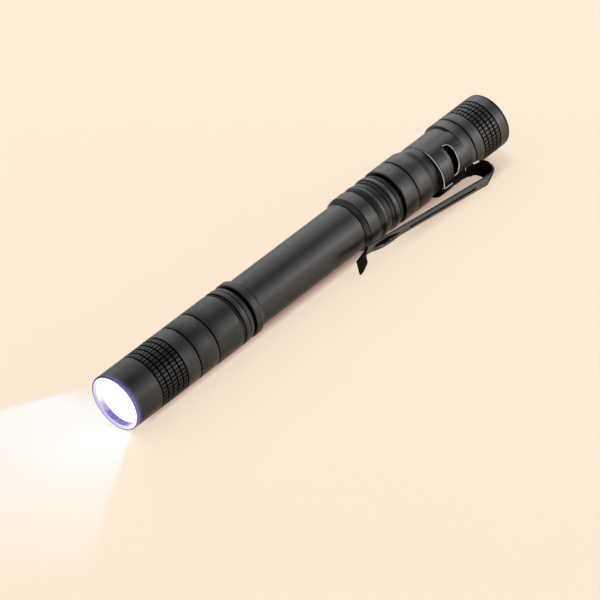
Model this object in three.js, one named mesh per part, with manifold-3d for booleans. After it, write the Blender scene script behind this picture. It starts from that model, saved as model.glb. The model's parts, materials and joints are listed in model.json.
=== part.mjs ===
// Pen-style LED inspection torch lying on its side: knurled lamp head, two-cell battery tube,
// knurled tail cap with a push switch, and a stamped pocket clip clamped round the tube.
// Millimetres. The pen's axis is X with the lens at +X, +Z is up, the clip points to +Y and down.
import * as THREE from "three";
import Module from "manifold-3d";

const wasm = await Module();
wasm.setup();

// ---- driving dimensions (mm); s is measured along the pen from the lens rim towards the tail ----
const LENGTH = 132;            // lens rim to tail rim
const BIG_R = 7.2;             // head and tail cap
const BARREL_R = 6.37;         // plain middle of the battery tube
const SEAT_R = 6.62;           // recess the clip sits in
const COLLAR_R = 7.1;          // ribs and collars of the tube
const SEGS = 36;               // facets of the outer turned parts
const SEGS_IN = 24;            // facets of the inner turned parts
const CELL_R = 5.15;           // AAA cell
const CELL_LEN = 44.5;
const BORE_R = 5.45;           // battery bore
const NECK_R = 5.92;           // threaded necks at both ends of the tube
const NECK_BORE_R = 6.0;       // bores that the necks screw into
const HEAD_BORE_R = 6.1;       // bore of the lamp head
const HEAD_END = 40.1;         // rear end of the head
const CAP_FRONT = 116.35;      // front face of the tail cap
const CLIP_TH = 0.5;           // spring steel sheet
const CLIP_DOWN = 25.28;       // degrees the clip points below the horizontal
const CLIP_S0 = 106.7, CLIP_S1 = 116.15; // band of the clip along the pen
const WING_END = 94;           // degrees the wings reach round from the clip's own direction
const BEND_C = [117.7, 10.8], BEND_R = 2.35; // U-bend of the clip, middle of the sheet
const ARM_R80 = 8.49, ARM_SLOPE = 0.124;     // middle of the arm at s = 80, and its slope
const LIFT_Z = BIG_R;          // axis height over the ground
const Y_SHIFT = -2.797;        // puts the bounding box's middle on Y = 0
const CX = LENGTH / 2;

const root = new THREE.Group();
const paint = {
  anodised: new THREE.MeshStandardMaterial({ color: 0x17181a, roughness: 0.5, metalness: 0.6 }),
  clip: new THREE.MeshStandardMaterial({ color: 0x1d1f22, roughness: 0.35, metalness: 0.8 }),
  glass: new THREE.MeshStandardMaterial({ color: 0xdfe6ff, roughness: 0.05, metalness: 0 }),
  mirror: new THREE.MeshStandardMaterial({ color: 0xe8e8ee, roughness: 0.08, metalness: 1 }),
  rubber: new THREE.MeshStandardMaterial({ color: 0x101010, roughness: 0.85, metalness: 0 }),
  ceramic: new THREE.MeshStandardMaterial({ color: 0xf2f2ee, roughness: 0.5, metalness: 0 }),
  dome: new THREE.MeshStandardMaterial({ color: 0xf4f0ff, roughness: 0.1, metalness: 0 }),
  board: new THREE.MeshStandardMaterial({ color: 0xe9ecea, roughness: 0.5, metalness: 0.1 }),
  pcb: new THREE.MeshStandardMaterial({ color: 0x1c5a34, roughness: 0.5, metalness: 0.1 }),
  brass: new THREE.MeshStandardMaterial({ color: 0xb58a3a, roughness: 0.35, metalness: 1 }),
  steel: new THREE.MeshStandardMaterial({ color: 0xb9bcc0, roughness: 0.3, metalness: 1 }),
  sleeve: new THREE.MeshStandardMaterial({ color: 0x2f5f8f, roughness: 0.35, metalness: 0.1 }),
  plastic: new THREE.MeshStandardMaterial({ color: 0x26282b, roughness: 0.6, metalness: 0 }),
  white: new THREE.MeshStandardMaterial({ color: 0xe6e3da, roughness: 0.6, metalness: 0 }),
};

function add(name, geometry, material) {
  const mesh = new THREE.Mesh(geometry, material);
  mesh.name = name;
  root.add(mesh);
  return mesh;
}

// A turned solid about the pen's axis from [s, r] points in order; closed on itself unless it
// starts and ends on the axis. The winding is put right from the profile's own area.
function turned(points, segs = SEGS) {
  let p = points.map(([s, r]) => [r, CX - s]);
  const onAxis = p[0][0] === 0 && p[p.length - 1][0] === 0;
  let area = 0;
  for (let i = 0; i < p.length; i++) {
    const a = p[i], b = p[(i + 1) % p.length];
    area += a[0] * b[1] - b[0] * a[1];
  }
  if (area < 0) p.reverse();
  if (!onAxis) p.push(p[0]);
  const g = new THREE.LatheGeometry(p.map(([x, y]) => new THREE.Vector2(x, y)), segs);
  g.rotateZ(-Math.PI / 2);
  g.translate(0, 0, LIFT_Z);
  return g;
}
const tube = (s0, s1, ri, ro, segs = SEGS_IN) => turned([[s0, ri], [s1, ri], [s1, ro], [s0, ro]], segs);
const disc = (s0, s1, r, segs = SEGS_IN) => turned([[s0, 0], [s0, r], [s1, r], [s1, 0]], segs);

function toSolid(g) {
  const n = g.index ? g.toNonIndexed() : g;
  const pos = n.getAttribute("position");
  const map = new Map(), vert = [], tri = [];
  for (let i = 0; i < pos.count; i++) {
    const k = [pos.getX(i), pos.getY(i), pos.getZ(i)].map((v) => Math.round(v * 1e4)).join(",");
    if (!map.has(k)) { map.set(k, vert.length / 3); vert.push(pos.getX(i), pos.getY(i), pos.getZ(i)); }
    tri.push(map.get(k));
  }
  const good = [];
  for (let i = 0; i < tri.length; i += 3)
    if (tri[i] !== tri[i + 1] && tri[i + 1] !== tri[i + 2] && tri[i] !== tri[i + 2]) good.push(tri[i], tri[i + 1], tri[i + 2]);
  return new wasm.Manifold(new wasm.Mesh({ numProp: 3, vertProperties: new Float32Array(vert), triVerts: new Uint32Array(good) }));
}
function fromSolid(m) {
  const mesh = m.getMesh(), n = mesh.numProp, v = new Float32Array(mesh.numVert * 3);
  for (let i = 0; i < mesh.numVert; i++) v.set(mesh.vertProperties.subarray(i * n, i * n + 3), i * 3);
  const g = new THREE.BufferGeometry();
  g.setAttribute("position", new THREE.BufferAttribute(v, 3));
  g.setIndex(new THREE.BufferAttribute(new Uint32Array(mesh.triVerts), 1));
  g.computeVertexNormals();
  return g;
}

// A round wire along a helix about the pen's axis.
class Helix extends THREE.Curve {
  constructor(s0, s1, r0, r1, turns) { super(); Object.assign(this, { s0, s1, r0, r1, turns }); }
  getPoint(t, out = new THREE.Vector3()) {
    const a = t * this.turns * 2 * Math.PI, r = this.r0 + (this.r1 - this.r0) * t;
    return out.set(CX - (this.s0 + (this.s1 - this.s0) * t), r * Math.cos(a), LIFT_Z + r * Math.sin(a));
  }
}
function coil(s0, s1, r0, r1, turns, wire, perTurn = 10, sides = 6) {
  const ring = new THREE.Shape();
  for (let i = 0; i < sides; i++) {
    const a = (i / sides) * 2 * Math.PI;
    i ? ring.lineTo(wire * Math.cos(a), wire * Math.sin(a)) : ring.moveTo(wire, 0);
  }
  ring.closePath();
  return new THREE.ExtrudeGeometry(ring, {
    steps: Math.round(turns * perTurn), bevelEnabled: false, extrudePath: new Helix(s0, s1, r0, r1, turns),
  });
}

// V-shaped turned grooves of a knurled band.
const vee = (s, r, w = 0.17, d = 0.24) => [[s - w, r], [s, r - d], [s + w, r]];
const slit = (s, r, w = 0.15, d = 0.2) => [[s - w, r], [s - w + 0.03, r - d], [s + w - 0.03, r - d], [s + w, r]];

// ---- lamp head ----
const HEAD_KNURL = [8.6, 10.3, 12.0, 13.65, 15.3, 16.95];
add("head_bezel", turned([
  [0.18, HEAD_BORE_R], [0, HEAD_BORE_R + 0.15], [0, BIG_R - 0.18], [0.18, BIG_R],
  ...HEAD_KNURL.flatMap((s) => vee(s, BIG_R)),
  ...slit(21.35, BIG_R), ...slit(27.55, BIG_R),
  [33.9, BIG_R], [34.7, BIG_R - 0.09], [35.4, BIG_R - 0.3], [36.05, 6.62],
  [36.3, 6.95], [36.85, BIG_R], [38.05, BIG_R], [HEAD_END, 6.45],
  [HEAD_END, NECK_BORE_R], [27.9, NECK_BORE_R], [27.9, HEAD_BORE_R],
]), paint.anodised);
add("front_lens", turned([[1.75, 0], [1.75, 5.95], [3.2, 5.95], [3.2, 0]], SEGS), paint.glass);
add("lens_gasket", tube(3.25, 3.7, 5.45, 5.95), paint.rubber);
add("reflector", turned([
  [3.75, 5.6], [3.75, 5.95], [4.7, 5.95], [4.8, 5.75], [9.0, 4.95], [13.35, 3.6], [13.35, 2.0],
  [12.6, 2.0], [11.2, 2.9], [9.4, 3.8], [7.2, 4.65], [5.4, 5.25],
]), paint.mirror);
// LED package: square ceramic base with a moulded silicone dome.
{
  const base = new THREE.BoxGeometry(0.65, 3.45, 3.45);
  base.translate(CX - 13.8, 0, LIFT_Z);
  add("led_base", base, paint.ceramic);
  add("led_dome", turned([[13.42, 0], [13.42, 1.3], [13.1, 1.28], [12.6, 1.08], [12.25, 0.68], [12.1, 0]], 20), paint.dome);
}
add("led_star_board", disc(14.2, 15.35, 5.8), paint.board);
// Brass pill: heat sink behind the LED, hollow at the back for the driver.
{
  const pill = toSolid(turned([[15.4, 0], [15.4, 5.95], [27.8, 5.95], [27.8, 5.35], [25.8, 5.35], [25.8, 4.9], [17.6, 4.9], [17.6, 0]], SEGS_IN));
  const hole = (y) => {
    const c = new THREE.CylinderGeometry(0.6, 0.6, 4, 10);
    c.rotateZ(Math.PI / 2);
    c.translate(CX - 16.5, y, LIFT_Z);
    return toSolid(c);
  };
  add("led_pill", fromSolid(pill.subtract(hole(3)).subtract(hole(-3))), paint.brass);
  const lead = (y) => {
    const c = new THREE.CylinderGeometry(0.3, 0.3, 10.2, 8);
    c.rotateZ(Math.PI / 2);
    c.translate(CX - 20.6, y, LIFT_Z);
    return c;
  };
  add("led_lead_positive", lead(3), paint.steel);
  add("led_lead_negative", lead(-3), paint.steel);
}
add("driver_board", disc(25.9, 26.85, 5.2), paint.pcb);
add("driver_contact_spring", coil(27.2, 28.85, 2.6, 1.3, 2.5, 0.25), paint.steel);

// ---- battery tube, with threaded necks at both ends ----
add("barrel_tube", turned([
  [27.98, BORE_R], [27.98, NECK_R], [37.4, NECK_R], [37.45, 5.6], [38.75, 5.6], [38.8, NECK_R],
  [40.3, NECK_R], [40.3, 6.45], [40.6, BIG_R], [42.6, BIG_R], [44.5, BARREL_R],
  [79.9, BARREL_R], [80.75, COLLAR_R],
  [83.6, COLLAR_R], [84.4, 6.95], [85.2, 6.6], [85.5, 6.85], [86.15, COLLAR_R], [87.0, COLLAR_R],
  [89.3, 6.45], [89.7, 6.85], [90.2, COLLAR_R], [91.35, COLLAR_R], [93.3, 6.5],
  [93.75, BIG_R], ...slit(98.4, BIG_R, 0.2, 0.25), [102.9, BIG_R], [104.6, SEAT_R],
  [116.25, SEAT_R], [116.3, NECK_R], [118.6, NECK_R], [118.65, 5.6], [119.95, 5.6], [120.0, NECK_R],
  [121.8, NECK_R], [121.8, BORE_R],
]), paint.anodised);
add("front_oring", tube(37.5, 38.7, 5.62, 5.97, SEGS), paint.rubber);
add("rear_oring", tube(118.7, 119.9, 5.62, 5.97, SEGS), paint.rubber);

// ---- two AAA cells, nubs towards the lamp ----
function cell(prefix, s) {
  add(prefix + "_nub", turned([[s, 0], [s, 1.75], [s + 0.2, 1.9], [s + 0.85, 1.9], [s + 0.85, 0]], 16), paint.steel);
  add(prefix + "_can", turned([[s + 0.87, 0], [s + 0.87, 4.6], [s + 1.3, 5.05], [s + CELL_LEN - 0.4, 5.05], [s + CELL_LEN - 0.05, 4.7], [s + CELL_LEN - 0.05, 0]]), paint.steel);
  add(prefix + "_sleeve", tube(s + 1.35, s + CELL_LEN - 0.45, 5.09, CELL_R + 0.06, SEGS), paint.sleeve);
}
cell("cell_front", 29.2);
cell("cell_rear", 29.2 + CELL_LEN);

// ---- tail cap and switch ----
const CAP_KNURL = [122.75, 124.2, 125.7, 127.15, 128.6];
add("tail_cap", turned([
  [CAP_FRONT, NECK_BORE_R], [CAP_FRONT, BIG_R - 0.08], [CAP_FRONT + 0.08, BIG_R],
  ...slit(119.5, BIG_R, 0.18, 0.22),
  ...CAP_KNURL.flatMap((s) => vee(s, BIG_R)),
  [131.65, BIG_R], [131.9, BIG_R - 0.1], [LENGTH, BIG_R - 0.35], [LENGTH, 4.75], [131.75, 4.5],
  [130.65, 4.5], [130.65, NECK_BORE_R],
]), paint.anodised);
add("tail_contact_spring", coil(118.35, 122.35, 2.2, 4.2, 4, 0.3), paint.steel);
add("switch_retaining_ring", tube(121.9, 122.6, 4.75, 5.9), paint.brass);
add("switch_contact_board", disc(122.68, 123.5, 5.75), paint.pcb);
add("switch_housing", turned([
  [123.55, 0], [123.55, 5.7], [124.6, 5.7], [124.6, 4.6], [127.9, 4.6], [127.9, 2.75], [124.4, 2.75], [124.4, 0],
]), paint.plastic);
add("switch_plunger", turned([[129.0, 0], [129.0, 2.2], [128.8, 2.4], [126.5, 2.4], [126.5, 2.0], [128.2, 2.0], [128.2, 0]], 20), paint.white);
add("switch_return_spring", coil(124.7, 126.3, 1.5, 1.5, 3, 0.2, 8, 5), paint.steel);
add("switch_boot", turned([
  [129.1, 0], [129.1, 2.9], [129.7, 2.9], [129.7, 5.6], [130.55, 5.6],
  [130.55, 4.25], [131.0, 4.1], [131.4, 3.4], [131.6, 2.2], [131.65, 0],
], SEGS_IN), paint.rubber);

// ---- pocket clip: local frame with Y out along the clip's direction, Z round the pen, X the pen's axis ----
const clipPlace = new THREE.Matrix4()
  .makeTranslation(0, 0, LIFT_Z)
  .multiply(new THREE.Matrix4().makeRotationX(THREE.MathUtils.degToRad(-CLIP_DOWN)));

// Bent strip: path points [s, r, half width] at the middle of the sheet; press(s, v) moves the
// sheet outwards at the share v (-1..1) of the half width.
function strip(path, across, press = () => 0) {
  const n = path.length, m = across.length, pos = [], idx = [];
  const side = (i, sign) => {
    const a = path[Math.max(i - 1, 0)], b = path[Math.min(i + 1, n - 1)];
    const ds = b[0] - a[0], dr = b[1] - a[1], L = Math.hypot(ds, dr);
    let ns = -dr / L, nr = ds / L;             // normal in the s-r plane
    return across.map((v) => {
      const k = sign * (CLIP_TH / 2) + press(path[i][0], v, i);
      return [CX - (path[i][0] + ns * k), path[i][1] + nr * k, v * path[i][2]];
    });
  };
  for (let i = 0; i < n; i++) {
    for (const p of side(i, 1)) pos.push(...p);
    for (const p of side(i, -1).reverse()) pos.push(...p);
  }
  const ring = 2 * m;
  for (let i = 0; i + 1 < n; i++)
    for (let j = 0; j < ring; j++) {
      const a = i * ring + j, b = i * ring + ((j + 1) % ring), c = a + ring, d = b + ring;
      idx.push(a, b, c, b, d, c);
    }
  const cap = (o, flip) => {
    for (let j = 0; j + 1 < m; j++) {
      const a = o + j, b = o + j + 1, c = o + ring - 1 - j, d = o + ring - 2 - j;
      flip ? idx.push(a, b, c, b, d, c) : idx.push(a, c, b, b, c, d);
    }
  };
  cap(0, false);
  cap((n - 1) * ring, true);
  const g = new THREE.BufferGeometry();
  g.setAttribute("position", new THREE.BufferAttribute(new Float32Array(pos), 3));
  g.setIndex(idx);
  // put the winding right from the enclosed volume
  let vol = 0;
  const P = (i) => [pos[3 * i], pos[3 * i + 1], pos[3 * i + 2]];
  for (let i = 0; i < idx.length; i += 3) {
    const [a, b, c] = [P(idx[i]), P(idx[i + 1]), P(idx[i + 2])];
    vol += a[0] * (b[1] * c[2] - b[2] * c[1]) - a[1] * (b[0] * c[2] - b[2] * c[0]) + a[2] * (b[0] * c[1] - b[1] * c[0]);
  }
  if (vol < 0) for (let i = 0; i < idx.length; i += 3) [idx[i + 1], idx[i + 2]] = [idx[i + 2], idx[i + 1]];
  g.setIndex(idx);
  return g;
}
const bendPoint = (deg, w) => [
  BEND_C[0] + BEND_R * Math.sin(THREE.MathUtils.degToRad(deg)),
  BEND_C[1] - BEND_R * Math.cos(THREE.MathUtils.degToRad(deg)), w,
];

// Band: a spine plate with two wings that close round the tube, each with a rounded window.
{
  const wing = new THREE.Shape();
  // the upper wing stands off the seat more than the lower one, which the pen lies on
  const rOut = (deg) => deg > 0
    ? 7.24 + 0.76 * (1 - (deg / WING_END) ** 2)
    : 7.19 + 0.81 * Math.max(0, 1 - (deg / 58) ** 2);
  const at = (deg, r) => [r * Math.cos(THREE.MathUtils.degToRad(deg)), r * Math.sin(THREE.MathUtils.degToRad(deg))];
  const steps = 22, ring = [];
  for (let i = 0; i <= steps; i++) { const d = -WING_END + (2 * WING_END * i) / steps; ring.push(at(d, rOut(d))); }
  for (let i = steps; i >= 0; i--) { const d = -WING_END + (2 * WING_END * i) / steps; ring.push(at(d, rOut(d) - CLIP_TH)); }
  ring.forEach(([y, z], i) => (i ? wing.lineTo(y, z) : wing.moveTo(y, z)));
  wing.closePath();
  const yzx = new THREE.Matrix4().set(0, 0, 1, 0, 1, 0, 0, 0, 0, 1, 0, 0, 0, 0, 0, 1); // shape x,y -> Y,Z; depth -> X
  const band = new THREE.ExtrudeGeometry(wing, { depth: CLIP_S1 - CLIP_S0, bevelEnabled: false });
  band.applyMatrix4(yzx);
  band.translate(CX - CLIP_S1, 0, 0);
  const legPath = [[114.2, 7.75, 1.95], [115.2, 7.8, 1.95], [116.3, 8.08, 1.95], [117.1, 8.36, 1.95],
    ...[0, 15, 30, 45, 60, 75, 88.8].map((d) => bendPoint(d, 1.95 - 0.3 * (d / 90)))];
  let solid = toSolid(band).add(toSolid(strip(legPath, [-1, 1])));
  const windowShape = new THREE.Shape();
  windowShape.absarc(0, 2.15, 1.6, 0, Math.PI, false);
  windowShape.absarc(0, -2.15, 1.6, Math.PI, 2 * Math.PI, false);
  windowShape.closePath();
  for (const side of [1, -1]) {
    const cut = new THREE.ExtrudeGeometry(windowShape, { depth: 6, bevelEnabled: false, curveSegments: 6 });
    // shape x -> pen axis, y -> round the pen, depth -> outwards
    cut.translate(0, 0, 4.6);
    cut.applyMatrix4(new THREE.Matrix4().set(1, 0, 0, 0, 0, 0, 1, 0, 0, -1, 0, 0, 0, 0, 0, 1));
    cut.rotateX(THREE.MathUtils.degToRad(46 * side));
    cut.translate(CX - 111.4, 0, 0);
    solid = solid.subtract(toSolid(cut));
  }
  const g = fromSolid(solid);
  g.applyMatrix4(clipPlace);
  add("clip_band", g, paint.clip);
}

// Arm: from the middle of the U-bend down to the flared tip, with a stiffening channel and a
// pressed leaf-shaped dimple.
{
  const mid = (s) => ARM_R80 + ARM_SLOPE * (s - 80);
  const width = (s) => 1.36 + (0.3 * (s - 80)) / 32;
  const path = [];
  for (const d of [91.2, 105, 120, 135, 150, 165]) path.push(bendPoint(d, 1.65));
  path.push([117.3, mid(117.3), 1.65], [115.3, mid(115.3), 1.68]);
  for (const s of [112.6, 111.8, 104, 97, 91.5, 90.6, 88.4, 87.0, 85.6, 84.0, 82.4, 81.0, 79.6]) path.push([s, mid(s), width(s)]);
  path.push([78.3, mid(78.3) - 0.02, 1.38], [77.3, mid(77.6) + 0.02, 1.42], [76.5, 8.75, 1.6], [75.3, 9.65, 1.95], [74.4, 10.1, 2.0], [73.3, 10.38, 2.0], [72.1, 10.55, 1.7]);
  const press = (s, v) => {
    // the strip runs from the bend to the tip, so a negative value here is away from the pen
    let k = 0;
    if (s > 90.5 && s < 112.7 && Math.abs(v) < 0.4) k += 0.22 * Math.min(1, (s - 90.6) / 0.9, (112.6 - s) / 0.8);
    if (s > 79.5 && s < 88.5 && Math.abs(v) < 0.8) k += 0.55 * Math.sin((Math.PI * (s - 79.6)) / 8.8) * (1 - (v / 0.8) ** 2);
    return k;
  };
  const g = strip(path, [-1, -0.78, -0.4, -0.34, 0, 0.34, 0.4, 0.78, 1], press);
  g.applyMatrix4(clipPlace);
  add("clip_arm", g, paint.clip);
}

root.children.forEach((m) => m.geometry.translate(0, Y_SHIFT, 0));
export default root;
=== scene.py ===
import json
import math

import bmesh
import bpy
from mathutils import Matrix, Vector


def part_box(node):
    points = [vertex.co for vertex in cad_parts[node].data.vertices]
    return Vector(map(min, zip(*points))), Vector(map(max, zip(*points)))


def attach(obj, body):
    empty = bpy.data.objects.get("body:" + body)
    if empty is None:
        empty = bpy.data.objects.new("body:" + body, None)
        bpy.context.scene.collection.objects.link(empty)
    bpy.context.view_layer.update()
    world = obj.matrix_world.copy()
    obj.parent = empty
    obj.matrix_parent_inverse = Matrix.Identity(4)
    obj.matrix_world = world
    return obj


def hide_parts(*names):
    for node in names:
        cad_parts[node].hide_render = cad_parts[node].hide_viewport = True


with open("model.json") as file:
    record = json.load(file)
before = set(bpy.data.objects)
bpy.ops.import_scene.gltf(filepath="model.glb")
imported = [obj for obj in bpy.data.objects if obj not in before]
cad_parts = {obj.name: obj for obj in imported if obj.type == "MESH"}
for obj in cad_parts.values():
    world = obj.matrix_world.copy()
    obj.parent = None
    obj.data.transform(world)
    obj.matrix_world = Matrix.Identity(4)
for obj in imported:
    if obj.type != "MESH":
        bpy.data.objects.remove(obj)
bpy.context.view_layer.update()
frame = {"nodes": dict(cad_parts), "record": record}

# ---------------------------------------------------------------- places, from the frame
head_lo, head_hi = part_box("head_bezel")
cap_lo, cap_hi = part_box("tail_cap")
X_LENS = head_hi[0]                       # lens rim
AY = (head_lo[1] + head_hi[1]) / 2        # the pen's axis
AZ = (head_lo[2] + head_hi[2]) / 2
BIG = (head_hi[2] - head_lo[2]) / 2 * 1000
clip_axis = next(j["axis"] for j in frame["record"]["behaviour"]["joints"] if j["name"] == "clip_flex")
CLIP = -math.atan2(clip_axis[1], clip_axis[2])   # angle of the clip's own direction from +Y
CLIP_DEG = math.degrees(CLIP)
COLL = bpy.context.scene.collection


def at(s, r, phi):
    """Point s mm behind the lens rim, r mm from the axis, at angle phi round the pen (0 = +Y, 90 deg = +Z)."""
    return Vector((X_LENS - s / 1000, AY + r / 1000 * math.cos(phi), AZ + r / 1000 * math.sin(phi)))


def mesh_object(name, verts, faces, wear_and_shade=None, sharp=32):
    me = bpy.data.meshes.new(name)
    me.from_pydata([tuple(v) for v in verts], [], faces)
    bm = bmesh.new()
    bm.from_mesh(me)
    bmesh.ops.recalc_face_normals(bm, faces=bm.faces)
    bm.to_mesh(me)
    bm.free()
    if wear_and_shade is not None:
        a = me.attributes.new("wear_and_shade", "FLOAT", "POINT")
        a.data.foreach_set("value", wear_and_shade)
    me.shade_smooth()
    me.set_sharp_from_angle(angle=math.radians(sharp))
    ob = bpy.data.objects.new(name, me)
    COLL.objects.link(ob)
    return ob


def lathe(name, prof, cols=None, cut=None, closed=True, sharp=32):
    """Turned piece. prof: (s, r, knurl share, worn edges above zero or painted shade below zero); cols: angles; cut:
    depth in mm per column.
    """
    cols = cols or [2 * math.pi * i / 192 for i in range(192)]
    cut = cut or [0.0] * len(cols)
    verts, faces, wear_and_shade, rows = [], [], [], []
    for p in prof:
        s, r = p[0], p[1]
        k = p[2] if len(p) > 2 else 0
        w = p[3] if len(p) > 3 else 0
        if r < 1e-6:
            rows.append([len(verts)])
            verts.append(at(s, 0, 0))
            wear_and_shade.append(w)
        else:
            row = []
            for a, c in zip(cols, cut):
                row.append(len(verts))
                verts.append(at(s, r - k * c, a))
                # the knurl's cuts get painted shade, darker the further they go in
                wear_and_shade.append(w if k * c < 0.01 else -min(1.0, k * c / 0.12))
            rows.append(row)
    n = len(cols)
    pairs = list(zip(rows, rows[1:])) + ([(rows[-1], rows[0])] if closed else [])
    for a, b in pairs:
        for j in range(n):
            q = (j + 1) % n
            if len(a) == 1 and len(b) == 1:
                continue
            if len(a) == 1:
                faces.append((a[0], b[j], b[q]))
            elif len(b) == 1:
                faces.append((a[j], b[0], a[q]))
            else:
                faces.append((a[j], b[j], b[q], a[q]))
    return mesh_object(name, verts, faces, wear_and_shade, sharp)


def arc(c, r, a0, a1, n):
    return [(c[0] + r * math.cos(math.radians(a0 + (a1 - a0) * i / n)), c[1] + r * math.sin(math.radians(a0 + (a1 - a0) * i / n))) for i in range(n + 1)]


# ---------------------------------------------------------------- materials
def new_mat(name):
    m = bpy.data.materials.new(name)
    m.use_nodes = True
    nt = m.node_tree
    nt.nodes.clear()
    out = nt.nodes.new("ShaderNodeOutputMaterial")
    bsdf = nt.nodes.new("ShaderNodeBsdfPrincipled")
    nt.links.new(bsdf.outputs[0], out.inputs[0])
    return m, nt, bsdf, out


def coords(nt, scale=(1000, 1000, 1000)):
    tc = nt.nodes.new("ShaderNodeTexCoord")
    mp = nt.nodes.new("ShaderNodeMapping")
    mp.inputs["Scale"].default_value = scale
    nt.links.new(tc.outputs["Object"], mp.inputs["Vector"])
    return mp.outputs["Vector"]


def noise(nt, vec, scale, detail=3, rough=0.5):
    n = nt.nodes.new("ShaderNodeTexNoise")
    n.inputs["Scale"].default_value = scale
    n.inputs["Detail"].default_value = detail
    n.inputs["Roughness"].default_value = rough
    nt.links.new(vec, n.inputs["Vector"])
    return n.outputs["Fac"]


def ramp(nt, fac, lo, hi, a, b):
    m = nt.nodes.new("ShaderNodeMapRange")
    m.inputs["From Min"].default_value = lo
    m.inputs["From Max"].default_value = hi
    m.inputs["To Min"].default_value = a
    m.inputs["To Max"].default_value = b
    nt.links.new(fac, m.inputs["Value"])
    return m.outputs["Result"]


def mixc(nt, fac, a, b):
    m = nt.nodes.new("ShaderNodeMix")
    m.data_type = "RGBA"
    if isinstance(fac, float):
        m.inputs[0].default_value = fac
    else:
        nt.links.new(fac, m.inputs[0])
    for k, v in ((6, a), (7, b)):
        if isinstance(v, tuple):
            m.inputs[k].default_value = (*v, 1)
        else:
            nt.links.new(v, m.inputs[k])
    return m.outputs[2]


def math_node(nt, op, a, b=None):
    m = nt.nodes.new("ShaderNodeMath")
    m.operation = op
    for k, v in ((0, a), (1, b)):
        if v is None:
            continue
        if isinstance(v, (int, float)):
            m.inputs[k].default_value = v
        else:
            nt.links.new(v, m.inputs[k])
    return m.outputs[0]


def bump(nt, bsdf, height, strength, dist):
    b = nt.nodes.new("ShaderNodeBump")
    b.inputs["Strength"].default_value = strength
    b.inputs["Distance"].default_value = dist
    nt.links.new(height, b.inputs["Height"])
    nt.links.new(b.outputs[0], bsdf.inputs["Normal"])


def round_axis(nt, deg):
    """Cosine of the angle between a point's direction from the axis and a given direction round the pen."""
    tc = nt.nodes.new("ShaderNodeTexCoord")
    sep = nt.nodes.new("ShaderNodeSeparateXYZ")
    nt.links.new(tc.outputs["Object"], sep.inputs[0])
    dy = math_node(nt, "SUBTRACT", sep.outputs["Y"], AY)
    dz = math_node(nt, "SUBTRACT", sep.outputs["Z"], AZ)
    r = math_node(nt, "SQRT", math_node(nt, "ADD", math_node(nt, "MULTIPLY", dy, dy), math_node(nt, "MULTIPLY", dz, dz)))
    a = math.radians(deg)
    p = math_node(nt, "ADD", math_node(nt, "MULTIPLY", dy, math.cos(a)), math_node(nt, "MULTIPLY", dz, math.sin(a)))
    return math_node(nt, "DIVIDE", p, r), r, sep


def anodised(name, dark=(0.0075, 0.0075, 0.008), light=(0.0135, 0.0135, 0.014), rough=(0.33, 0.50), edge=(0.12, 0.12, 0.125), painted_lamp_haze=False):
    m, nt, bsdf, out = new_mat(name)
    v = coords(nt)
    lathe_v = coords(nt, (6000, 150, 150))       # turning marks run round the pen
    blot = noise(nt, v, 0.35, 2)
    grain = noise(nt, v, 7.0, 3, 0.75)
    turn = noise(nt, lathe_v, 1.0, 2)
    fleck = noise(nt, v, 2.4, 2, 0.6)
    mix = math_node(nt, "ADD", math_node(nt, "MULTIPLY", blot, 0.10), math_node(nt, "ADD", math_node(nt, "MULTIPLY", grain, 0.35), math_node(nt, "ADD", math_node(nt, "MULTIPLY", turn, 0.2), math_node(nt, "MULTIPLY", fleck, 0.35))))
    col = mixc(nt, ramp(nt, mix, 0.38, 0.62, 0, 1), dark, light)
    att = nt.nodes.new("ShaderNodeAttribute")
    att.attribute_name = "wear_and_shade"
    worn = math_node(nt, "MULTIPLY", math_node(nt, "MAXIMUM", att.outputs["Fac"], 0.0), ramp(nt, noise(nt, v, 1.6, 3), 0.35, 0.7, 0.45, 1.0))
    recess_shade = math_node(nt, "MINIMUM", math_node(nt, "MULTIPLY", math_node(nt, "MINIMUM", att.outputs["Fac"], 0.0), -1.0), 1.0)
    col = mixc(nt, worn, col, edge)
    col = mixc(nt, recess_shade, col, (0.0012, 0.0012, 0.0013))      # painted shade in the recesses, which also dims their reflection
    nt.links.new(col, bsdf.inputs["Base Color"])
    nt.links.new(ramp(nt, mix, 0.35, 0.65, rough[1], rough[0]), bsdf.inputs["Roughness"])
    tcx = nt.nodes.new("ShaderNodeTexCoord")
    sx = nt.nodes.new("ShaderNodeSeparateXYZ")
    nt.links.new(tcx.outputs["Object"], sx.inputs[0])
    tailward = ramp(nt, sx.outputs["X"], X_LENS - 0.1, X_LENS - 0.02, 1, 0)     # the head is the more handled, duller end
    level = math_node(nt, "ADD", math_node(nt, "MULTIPLY", tailward, 0.49), 0.445)
    nt.links.new(math_node(nt, "MULTIPLY", level, ramp(nt, recess_shade, 0, 1, 1.0, 0.08)), bsdf.inputs["Specular IOR Level"])
    bsdf.inputs["Metallic"].default_value = 0.0
    h = math_node(nt, "ADD", math_node(nt, "MULTIPLY", grain, 0.5), math_node(nt, "ADD", math_node(nt, "MULTIPLY", turn, 0.2), math_node(nt, "MULTIPLY", fleck, 0.8)))
    bump(nt, bsdf, h, 0.6, 0.00005)
    if painted_lamp_haze:
        # painted light: the lamp's haze caught by the rim, as emission fading just behind the mouth on one side
        c, r, sep = round_axis(nt, CLIP_DEG + 25)
        back = ramp(nt, sep.outputs["X"], X_LENS - 0.0019, X_LENS, 0, 1)
        side = math_node(nt, "MULTIPLY", ramp(nt, c, -0.45, 0.75, 0, 1), 1.0)
        amount = math_node(nt, "MULTIPLY", math_node(nt, "MULTIPLY", back, back), side)
        bsdf.inputs["Emission Color"].default_value = (0.36, 0.26, 0.90, 1)
        nt.links.new(math_node(nt, "MULTIPLY", amount, 0.62), bsdf.inputs["Emission Strength"])
    return m


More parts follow.
